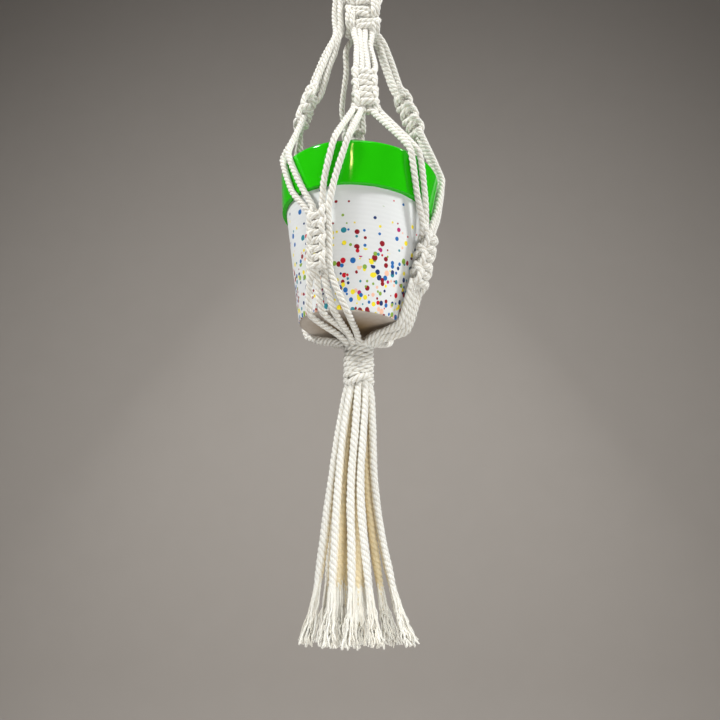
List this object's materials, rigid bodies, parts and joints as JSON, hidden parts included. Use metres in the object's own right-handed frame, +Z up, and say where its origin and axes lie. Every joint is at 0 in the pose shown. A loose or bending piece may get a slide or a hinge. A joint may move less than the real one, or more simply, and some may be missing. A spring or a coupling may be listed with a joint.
{
  "type": "hanging macrame planter",
  "caption": "Knotted cotton cord hanger with a wooden ring, four arms, square knots, a gathering wrap and a frayed tassel, carrying a small painted clay pot.",
  "frame": {"origin": "hook seat, the inside top of the hanging ring", "axes": "+Z up along the hanging direction, -Y towards the front of the planter, +X to its right"},
  "size_m": [0.1044, 0.1084, 0.5016],
  "materials": {
    "cotton_cord": "matte natural cotton, three-ply twisted",
    "painted_clay": "satin white body with scattered coloured dots, glossy green rim, bare clay underside",
    "ring_wood": "smooth oiled beech"
  },
  "bodies": {
    "ring": {"hanging_ring": "ring_wood"},
    "hanger": {"ring_bights": "cotton_cord", "top_knot": "cotton_cord", "arm_cords_front": "cotton_cord", "arm_cords_right": "cotton_cord", "arm_cords_back": "cotton_cord", "arm_cords_left": "cotton_cord", "arm_knot_front": "cotton_cord", "arm_knot_right": "cotton_cord", "arm_knot_back": "cotton_cord", "arm_knot_left": "cotton_cord", "rim_cords_front": "cotton_cord", "rim_cords_right": "cotton_cord", "rim_cords_back": "cotton_cord", "rim_cords_left": "cotton_cord", "lower_knot_front_left": "cotton_cord", "lower_knot_front_right": "cotton_cord", "lower_knot_back_right": "cotton_cord", "lower_knot_back_left": "cotton_cord", "cradle_cords_front_left": "cotton_cord", "cradle_cords_front_right": "cotton_cord", "cradle_cords_back_right": "cotton_cord", "cradle_cords_back_left": "cotton_cord", "gathering_wrap": "cotton_cord"},
    "pot": {"clay_pot": "painted_clay"},
    "tassel": {"tassel_strand_01": "cotton_cord", "tassel_strand_02": "cotton_cord", "tassel_strand_03": "cotton_cord", "tassel_strand_04": "cotton_cord", "tassel_strand_05": "cotton_cord", "tassel_strand_06": "cotton_cord", "tassel_strand_07": "cotton_cord", "tassel_strand_08": "cotton_cord", "tassel_strand_09": "cotton_cord", "tassel_strand_10": "cotton_cord", "tassel_strand_11": "cotton_cord", "tassel_strand_12": "cotton_cord", "tassel_strand_13": "cotton_cord", "tassel_strand_14": "cotton_cord", "tassel_strand_15": "cotton_cord", "tassel_strand_16": "cotton_cord"}
  },
  "joints": [
    {"name": "ring_swivel", "type": "hinge", "parent": "ring", "child": "hanger", "pos_m": [0, 0, -0.025], "axis": [0, 1, 0], "range_deg": [-30, 30]},
    {"name": "pot_spin", "type": "hinge", "parent": "hanger", "child": "pot", "pos_m": [-0.00475, 0, -0.323], "axis": [0.0548, 0, 0.9985], "continuous": true},
    {"name": "tassel_swing", "type": "hinge", "parent": "hanger", "child": "tassel", "pos_m": [0, 0, -0.35], "axis": [0, 1, 0], "range_deg": [-35, 35]}
  ]
}
